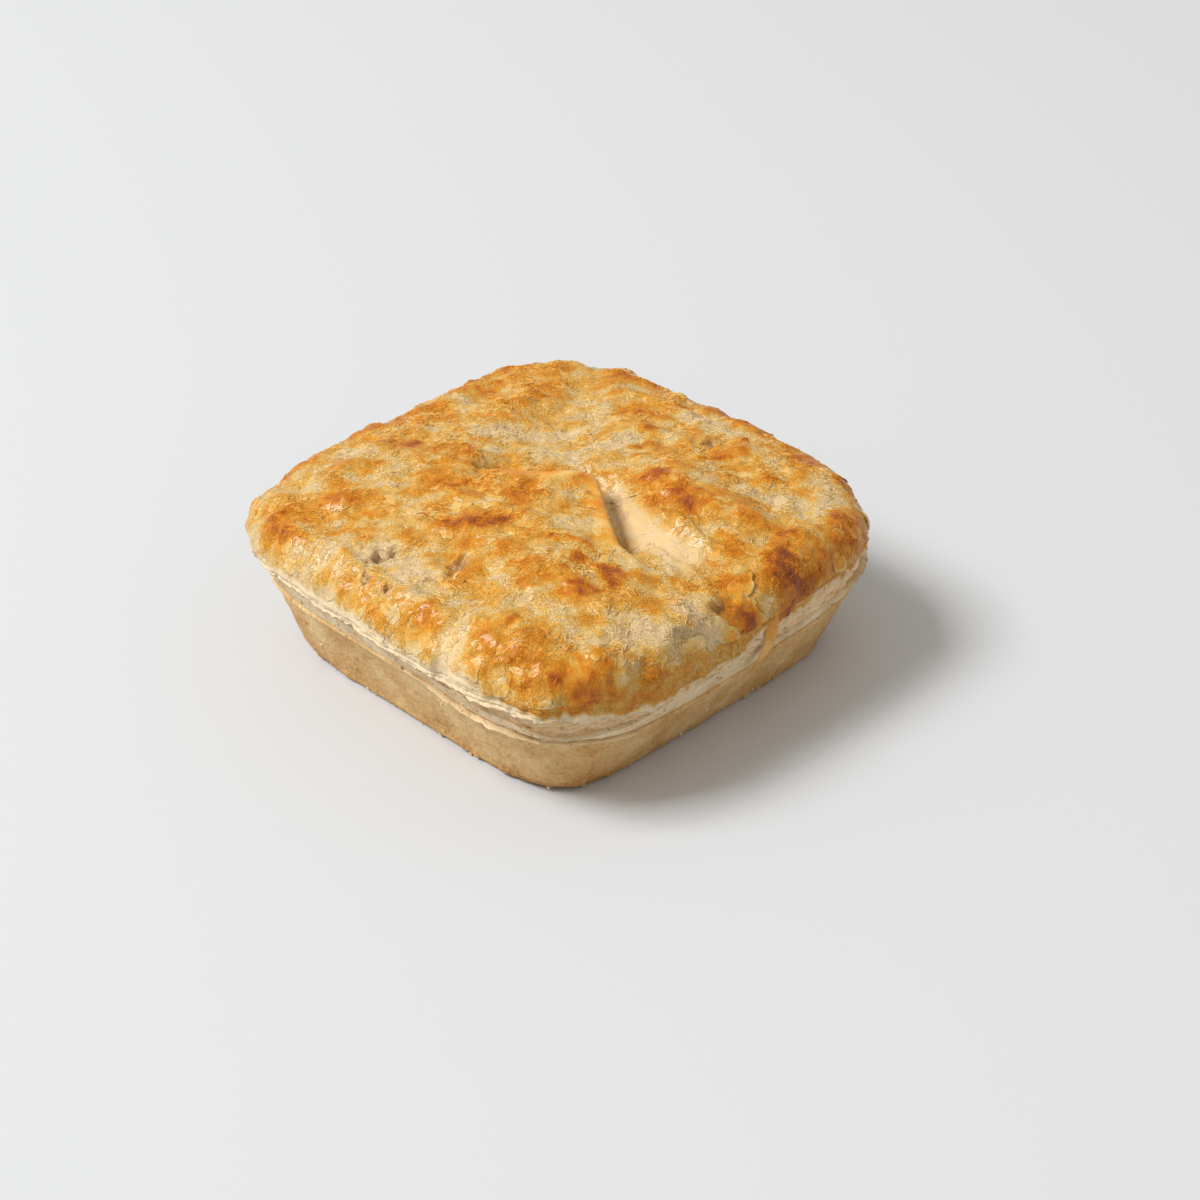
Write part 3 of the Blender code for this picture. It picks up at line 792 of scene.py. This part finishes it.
# Bump: soft mottle or laminations, curled lines and flecks, all fainter on smooth and bare skin
flat_place = add(glazed, "Mapping", {"Vector": place, "Scale": (0.3, 0.3, 1.8)})
laminated = add(glazed, "TexNoise", {"Vector": flat_place, "Scale": size_of(1.5), "Detail": 3})
bump = add(glazed, "Mix", {"Factor": bare_in, 2: mottle, 3: laminated}, data_type="FLOAT")
fade = add(glazed, "Math", {0: not_smooth, 1: not_bare}, operation="MULTIPLY")
soft = add(glazed, "Bump", {"Height": bump, "Strength": fade, "Distance": 0.4 * MM})
curly = add(glazed, "Bump", {"Height": curls, "Strength": fade, "Distance": 0.15 * MM, "Normal": soft})
flecks = add(glazed, "Bump", {"Height": blotch, "Strength": fade, "Distance": 0.16 * MM, "Normal": curly})
fill(shader, {"Base Color": crust, "Roughness": dull, "Specular IOR Level": 0.22, "Coat Weight": coat,
              "Coat Roughness": 0.12, "Normal": flecks})

skin = finished("lid_skin", skin_points, [top_faces, skirt_faces, bottom], skin_values, glazed)
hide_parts("pastry_lid")


# ==== Flakes and curled threads on the skin ===============================================
# The outermost leaves of the puff pastry dried, cracked and curled as they baked. They lie on
# the skin as thin crisp flakes, lifted at one edge, and as fine curled threads of glaze.

FLAKES, THREADS = 320, 7000
FLAKE_THICKNESS = 0.05
step_across, step_up = np.gradient(top_points, axis=1), np.gradient(top_points, axis=0)
skin_out = np.cross(step_across, step_up)
cell_area = np.linalg.norm(skin_out, axis=-1)
skin_out /= np.maximum(cell_area, 1e-9)[..., None]


def on_skin(column, row, field):
    """A field of the skin's grid, read between the grid's points by shares of the nearest four."""
    column, row = np.clip(column, 0, CELLS - 1e-6), np.clip(row, 0, CELLS - 1e-6)
    c, r = column.astype(int), row.astype(int)
    fc, fr = column - c, row - r
    if field.ndim == 3:
        fc, fr = fc[..., None], fr[..., None]
    return ((field[r, c] * (1 - fc) + field[r, c + 1] * fc) * (1 - fr)
            + (field[r + 1, c] * (1 - fc) + field[r + 1, c + 1] * fc) * fr)


def beside_on_skin(column, row, a, b):
    """Grid places a mm and b mm away from given ones, along the grid's row and square to it in
    the skin: the steps solve a = da |across| + db (up . row), b = db (up . square)."""
    u, v, n = (on_skin(column, row, field) for field in (step_across, step_up, skin_out))
    long = np.linalg.norm(u, axis=-1)
    first = u / long[..., None]
    second = np.cross(n, first)
    db = b / np.sum(v * second, axis=-1)[..., None]
    da = (a - db * np.sum(v * first, axis=-1)[..., None]) / long[..., None]
    return column[..., None] + da, row[..., None] + db


def pick_places(count, chance, draw):
    """Random grid places, each cell as likely as its area times `chance`."""
    weights = (cell_area * chance)[:-1, :-1].ravel()
    row, column = np.divmod(draw.choice(CELLS * CELLS, count, p=weights / weights.sum()), CELLS)
    return column + draw.random(count), row + draw.random(count)


def copies(faces, count, points):
    """The faces of one shape, for `count` copies of its points one after another."""
    return (faces + points * np.arange(count)[:, None, None]).reshape(-1, faces.shape[1])


def flakes_mesh(name, column, row, length, width, heading, lift, tone, rings, spokes, seed):
    """Thin closed leaves lying on the skin. Each is an oval of points at r * (length cos t,
    width sin t) with a ragged edge; its height off the skin grows from just under it at the
    back to `lift` at the front, and its two sides meet in a thin edge."""
    draw = np.random.default_rng(seed)
    count = len(column)
    t = np.linspace(0, 2 * math.pi, spokes, endpoint=False)
    ragged = 1 + sum(draw.normal(0, 0.42 / k, (count, 1)) * np.cos(k * t + draw.uniform(0, 6.3, (count, 1)))
                       for k in (2, 3, 5, 7, 11))
    ragged = np.clip(ragged, 0.3, 1.8)
    r = np.append(np.linspace(0, 0.94, rings + 1)[1:], [1, 0.85])
    ring = (r[None, :, None] * ragged[:, None, :]).reshape(count, -1)
    around = np.tile(t, len(r))
    poles = np.zeros((count, 2))
    a0 = np.concatenate([ring * length[:, None] * np.cos(around), poles], axis=1)
    b0 = np.concatenate([ring * width[:, None] * np.sin(around), poles], axis=1)
    cosine, sine = np.cos(heading)[:, None], np.sin(heading)[:, None]
    c, w = beside_on_skin(column, row, a0 * cosine - b0 * sine, a0 * sine + b0 * cosine)
    base, out = on_skin(c, w, top_points), on_skin(c, w, skin_out)
    top = np.append(np.repeat(np.append(np.ones(rings), [0.4, 0]), spokes), [1, 0])
    high = -0.08 + (lift[:, None] + 0.08) * ramp(a0 / length[:, None], -0.7, 1.1)
    high += 0.05 * grain(*np.moveaxis(base, -1, 0), 1.2, seed) + FLAKE_THICKNESS * top
    points = (base + out * high[..., None]).reshape(-1, 3)
    per = len(r) * spokes + 2
    index = np.arange(per - 2).reshape(len(r), spokes)
    quads = ring_faces(index)[:, ::-1]
    fans = np.concatenate([fan_faces(index[0], per - 2, True), fan_faces(index[-1], per - 1, False)])
    edge = np.append(np.repeat(r ** 3, spokes), [0, 0])
    browning = on_skin(c, w, bake) + tone[:, None] - 0.16 * edge
    return finished(name, points, [copies(quads, count, per), copies(fans, count, per)],
                    {"bake": browning, "bare": 0.6 * on_skin(c, w, bare), "smooth": 0.3, "painted_hollow_shade": 0,
                     "painted_shade": 0}, glazed)


draw = np.random.default_rng(80)
clump = ramp(grain(x_top, y_top, 0, 7, 83), -0.3, 0.4)
likely = (0.15 + clump) * np.clip(calm, 0.05, 1) ** 2 * (1 - 2 * blister_skin)
likely *= (1 - 0.9 * bare) * (1 - np.clip(in_hole, 0, 1))
column, row = pick_places(FLAKES, likely, draw)
length = draw.uniform(0.9, 3, FLAKES)
flakes = flakes_mesh("skin_flakes", column, row, length, length * draw.uniform(0.35, 0.7, FLAKES),
                     draw.uniform(0, 6.3, FLAKES), draw.uniform(-0.01, 0.05, FLAKES),
                     draw.uniform(-0.1, 0.03, FLAKES), 2, 16, 84)

# Threads: arcs of a circle laid on the skin, with a three-cornered section that tapers
THREAD_RINGS, THREAD_SIDES = 5, 3
THREAD_POINTS = THREAD_RINGS * THREAD_SIDES
column, row = pick_places(THREADS, likely * (0.3 + clump), draw)
centre_x, centre_y = on_skin(column, row, x_top), on_skin(column, row, y_top)
heading = 5 * grain(centre_x, centre_y, 0, 6, 85) + draw.normal(0, 0.7, THREADS)
bend = draw.uniform(0.5, 2.4, THREADS) * draw.choice((-1, 1), THREADS)
long = draw.uniform(0.7, 2.3, THREADS)
along = np.linspace(-0.5, 0.5, THREAD_RINGS)[None, :] * long[:, None]
angle = heading[:, None] + along / bend[:, None]
a = bend[:, None] * (np.sin(angle) - np.sin(heading)[:, None])
b = -bend[:, None] * (np.cos(angle) - np.cos(heading)[:, None])
c, w = beside_on_skin(column, row, a, b)
spine, out = on_skin(c, w, top_points), on_skin(c, w, skin_out)
thick = draw.uniform(0.07, 0.145, THREADS)[:, None] * np.array([0.35, 0.9, 1, 0.9, 0.35])
arch = 0.02 + draw.uniform(0, 0.06, (THREADS, 1)) * np.cos(math.pi * along / long[:, None])
spine = spine + out * arch[..., None]
ahead = np.gradient(spine, axis=1)
ahead /= np.linalg.norm(ahead, axis=-1, keepdims=True)
sideways = np.cross(out, ahead)
corner = np.radians([90, 210, 330])
section = np.cos(corner)[:, None] * sideways[:, :, None] + np.sin(corner)[:, None] * out[:, :, None]
thread_points = spine[:, :, None] + thick[:, :, None, None] * section
index = np.arange(THREAD_POINTS).reshape(THREAD_RINGS, THREAD_SIDES)
tube = np.roll(ring_faces(index)[:, ::-1], 1, axis=1)
ends = np.array([index[0], index[-1][::-1]])
tone = np.repeat(on_skin(column, row, bake) + draw.uniform(-0.22, -0.04, THREADS), THREAD_POINTS)
threads_piece = finished("skin_threads", thread_points.reshape(-1, 3),
                         [copies(faces, THREADS, THREAD_POINTS) for faces in (tube, ends)],
                         {"bake": tone, "bare": 0, "smooth": 1, "painted_hollow_shade": 0, "painted_shade": 0}, glazed)


# ==== Torn leaves at the rim ==============================================================
# Larger leaves of the browned skin tore loose where the lid was handled: a ragged patch in the
# middle of the +X side, tongues of skin over the bare leaves on the -Y side, and lifted tips
# round the rim.

# Place x, y, z; half length, half width; heading from the +X direction; lift; browning
TORN_LEAVES = np.array((
    (48.2, -1.2, 29.4, 5.4, 4.4, 15, 0.7, 0.17), (49.2, 3.2, 27.2, 4.2, 2.4, -30, 0.7, 0.1),
    (48.9, -7.2, 27.6, 4.2, 3, 50, 0.6, -0.02), (46, 1, 31.8, 3.6, 2.4, 110, 0.5, 0.12),
    (49.4, -10.5, 26.6, 2.6, 1.4, 20, 0.5, 0.02), (48.8, -14, 28, 2.8, 1.6, 80, 0.4, 0.04),
    (13.7, -48, 29.6, 3.6, 3.6, -90, 0.02, -0.02), (26.4, -47.4, 29.4, 3.8, 2.4, -50, 0.04, 0),
    (-9.3, -48.1, 29.6, 3.2, 2, -95, 0.02, -0.02), (-1, -48.3, 29, 2.6, 2.4, -80, 0.02, -0.02),
    (-22, -48, 29, 2.8, 2, -110, 0.02, -0.02), (33, -47, 28.6, 3, 2.2, -70, 0.03, 0),
    (38, -45.6, 27.4, 2.6, 1.8, -60, 0.03, 0), (6, 47.6, 30.2, 2.8, 1.8, 85, 0.6, 0),
    (9.6, 46.8, 31.2, 2.4, 1.6, 60, 0.55, 0.02), (13, 47.8, 29.6, 2.2, 1.4, 100, 0.5, 0),
    (1, 48.4, 29, 2.6, 1.6, 80, 0.4, 0), (30, 46.6, 30.4, 2.4, 1.6, 70, 0.4, 0),
    (41, 42, 30, 2.6, 1.7, 45, 0.4, -0.05), (46.8, 34, 30, 2.4, 1.8, 20, 0.35, -0.08),
    (49.2, 27, 27.6, 2.6, 1.8, 10, 0.35, -0.08), (-20, 47.4, 30, 2.8, 1.8, 95, 0.4, 0),
    (-36, 45, 30, 2.6, 1.8, 120, 0.4, 0), (-47.6, 22, 30, 2.8, 1.8, 175, 0.4, 0),
    (-48.4, -4, 29.4, 2.6, 1.8, 185, 0.4, 0), (-47.6, -26, 29.6, 2.6, 1.8, 190, 0.4, 0),
))


def places_at(spots):
    """The grid places whose points lie nearest to the given ones."""
    gaps = np.linalg.norm(top_points.reshape(-1, 1, 3) - spots[None, :, :3], axis=-1)
    row, column = np.divmod(gaps.argmin(axis=0), CELLS + 1)
    return column.astype(float), row.astype(float)


column, row = places_at(TORN_LEAVES)
torn_leaves = flakes_mesh("torn_leaves", column, row, TORN_LEAVES[:, 3], TORN_LEAVES[:, 4],
                          np.radians(TORN_LEAVES[:, 5]), TORN_LEAVES[:, 6], TORN_LEAVES[:, 7], 8, 44, 91)


OVAL_POINTS = 12


def ribbon(name, spine, aside, width, thickness, values, material):
    """A closed flat strip along a spine: at each point its section is an oval, width/2 along
    `aside` and thickness/2 square to it and to the spine, and both ends close to a point."""
    ahead = np.gradient(spine, axis=0)
    ahead /= np.linalg.norm(ahead, axis=1, keepdims=True)
    aside = aside - ahead * np.sum(aside * ahead, axis=1, keepdims=True)
    aside /= np.linalg.norm(aside, axis=1, keepdims=True)
    square = np.cross(ahead, aside)
    t = np.linspace(0, 2 * math.pi, OVAL_POINTS, endpoint=False)
    rings = (spine[:, None] + 0.5 * (width[:, None] * np.cos(t))[..., None] * aside[:, None]
             + 0.5 * thickness * np.sin(t)[:, None] * square[:, None])
    points = np.concatenate([rings.reshape(-1, 3), spine[:1], spine[-1:]])
    return finished(name, points, closed_faces(len(spine), OVAL_POINTS), values, material)


# A strip of skin that peeled away from the torn patch and hangs down over the trimmed edge
share = np.linspace(0, 1, 40)
STRIP = np.array(((48.9, 6.4, 25.4), (50, 5.8, 23), (50.5, 4.8, 20.6), (50.3, 3.6, 18.2), (49.6, 2.4, 16.2),
                  (48.9, 1.4, 14.4)))
marks = np.linspace(0, 1, len(STRIP))
spine = np.stack([curve_through(share, np.stack([marks, STRIP[:, i]], axis=1), 1) for i in range(3)], axis=1)
spine += np.stack([0.1 * grain(share * 12, 1, i, 2, 92) for i in range(3)], axis=1)
aside = np.stack(np.broadcast_arrays(0.35 + 0.4 * np.sin(5 * share), 1, 0.35), axis=1)
width = (3 - 2.3 * share) * (1 + 0.35 * grain(share * 12, 4, 0, 1.6, 98))
along = np.append(np.repeat(share, OVAL_POINTS), [0, 1])
strip = ribbon("peeled_strip", spine, aside, width, 0.32,
               {"bake": 0.36 + 0.1 * np.sin(9 * along), "bare": 0.25, "smooth": 0.5, "painted_hollow_shade": 0, "painted_shade": 0},
               glazed)

# A curled frill of shortcrust squeezed out along the lip round the front corner
share = np.linspace(0, 1, 200)
turn = np.radians(-84 + 60 * share)
run = 60 * share
swell = np.sin(math.pi * share) ** 0.5
reach = LIP_HALF + 0.55 + 0.5 * swell * (1 + grain(run, 0, 0, 4, 93))
fx, fy = square_section(reach, 4.8, turn)
spine = np.stack([fx + CASE_CENTRE[0], fy + CASE_CENTRE[1],
                  lip_height(turn) + 1 + 0.35 * grain(run, 3, 0, 5, 94)], axis=1)
aside = np.stack([np.cos(turn), np.sin(turn), -0.35 + 0.4 * grain(run, 7, 0, 3, 95)], axis=1)
width = 0.4 + swell * (1 + 0.6 * grain(run, 9, 0, 2, 96))
frill = ribbon("lip_frill", spine, aside, width, 0.3, {"cut": 0.7, "toast": 0.05}, shortcrust)


# ==== Crumbs ==============================================================================
# Shortcrust crumbs: rough grains of baked flour and fat that cling round the foot, along the
# lip and on the trimmed edge.

CRUMBS, CRUMB_RINGS, CRUMB_POINTS = 560, 5, 7
draw = np.random.default_rng(97)
gx, gy, gz = np.moveaxis(case_grid, -1, 0)
lip = lip_height(np.arctan2(gy, gx))
clusters = ramp(grain(gx, gy, 0.3 * gz, 5, 99), -0.1, 0.7) + 0.1
likely = 1.6 * np.exp(-(gz / 1.3) ** 2) + 0.8 * np.exp(-((gz - lip - 0.9) / 0.5) ** 2)
likely += 0.35 * (gz > lip + 1.5) + 0.05
likely *= clusters * np.linalg.norm(np.gradient(case_grid, axis=0), axis=-1) * (gz > 0.25)
likely[-5:] = 0
chosen = draw.choice(gx.size, CRUMBS, replace=False, p=(likely / likely.sum()).ravel())
radius = draw.gamma(4, 0.05, CRUMBS).clip(0.1, 0.42)
ring_turn = np.linspace(0, 2 * math.pi, CRUMB_POINTS, endpoint=False)
tilt = np.radians([8, 50, 92, 135, 172])
ball = np.stack([np.sin(tilt)[:, None] * np.cos(ring_turn), np.sin(tilt)[:, None] * np.sin(ring_turn),
                 np.cos(tilt)[:, None] + 0 * ring_turn], axis=-1).reshape(-1, 3)
knobbly = 1 + 0.22 * draw.normal(size=(CRUMBS, len(ball), 1))
stretch = draw.uniform(0.6, 1.3, (CRUMBS, 1, 3))
grains_of_crust = ball[None] * knobbly * stretch * radius[:, None, None]
middle = case_grid.reshape(-1, 3)[chosen]
middle[:, 2] = np.maximum(middle[:, 2], 1.3 * radius)
crumb_points = middle[:, None] + grains_of_crust
index = np.arange(len(ball)).reshape(CRUMB_RINGS, CRUMB_POINTS)
shell = copies(ring_faces(index)[:, ::-1], CRUMBS, len(ball))
ends = np.concatenate([copies(cap, CRUMBS, len(ball)) for cap in (index[:1], index[-1:, ::-1])])
tone = np.repeat(draw.uniform(-0.15, 0.15, CRUMBS), len(ball))
crumbs = finished("crust_crumbs", crumb_points.reshape(-1, 3), [shell, ends],
                  {"cut": np.repeat(draw.uniform(0.2, 1, CRUMBS), len(ball)), "toast": tone}, shortcrust)


# ==== Table, light and camera =============================================================
# A plain pale table top, one large soft window of light from the upper left, and a long
# lens that looks down on the front corner.

pale_table, shader, place = new_material("pale_table")
fill(shader, {"Base Color": colour("C7CACE"), "Roughness": 0.9, "Specular IOR Level": 0.1})
TABLE = 1500
table_corners = TABLE * np.array([[-1, -1, 0], [1, -1, 0], [1, 1, 0], [-1, 1, 0]])
floor = finished("table_top", table_corners, [np.array([[0, 1, 2, 3]])], {}, pale_table)
floor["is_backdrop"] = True

AZIMUTH, ELEVATION = math.radians(45), math.radians(33.1)
to_camera = np.array([math.sin(AZIMUTH) * math.cos(ELEVATION), -math.cos(AZIMUTH) * math.cos(ELEVATION),
                      math.sin(ELEVATION)])
to_right = np.array([math.cos(AZIMUTH), math.sin(AZIMUTH), 0])
to_back = np.array([-math.sin(AZIMUTH), math.cos(AZIMUTH), 0])
AIM = np.array([-3.6, 14.9, 0])
DISTANCE = 527
lens = bpy.data.cameras.new("long_lens")
lens.lens, lens.sensor_width = 78, 36
camera = bpy.data.objects.new("camera", lens)
camera.location = (AIM + to_camera * DISTANCE) * MM
camera.rotation_euler = (math.pi / 2 - ELEVATION, 0, AZIMUTH)
bpy.context.scene.collection.objects.link(camera)
bpy.context.scene.camera = camera


def soft_box(name, direction, distance, width, power):
    """A square light of that width in mm, that far from the pie and facing it."""
    light = bpy.data.lights.new(name, "AREA")
    light.energy, light.size = power, width * MM
    lamp = bpy.data.objects.new(name, light)
    away = direction / np.linalg.norm(direction)
    lamp.location = away * distance * MM
    level = math.hypot(away[0], away[1])
    lamp.rotation_euler = (math.atan2(level, away[2]), 0, math.atan2(away[1], away[0]) + math.pi / 2)
    bpy.context.scene.collection.objects.link(lamp)


soft_box("window", -0.82 * to_right - 0.12 * to_back + np.array([0, 0, 1]), 2600, 1000, 72)
room = bpy.data.worlds.new("room")
room.use_nodes = True
fill(room.node_tree.nodes["Background"], {"Color": colour("FBF4EA"), "Strength": 0.62})
bpy.context.scene.world = room
bpy.context.scene.view_settings.view_transform = "Standard"

low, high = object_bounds()
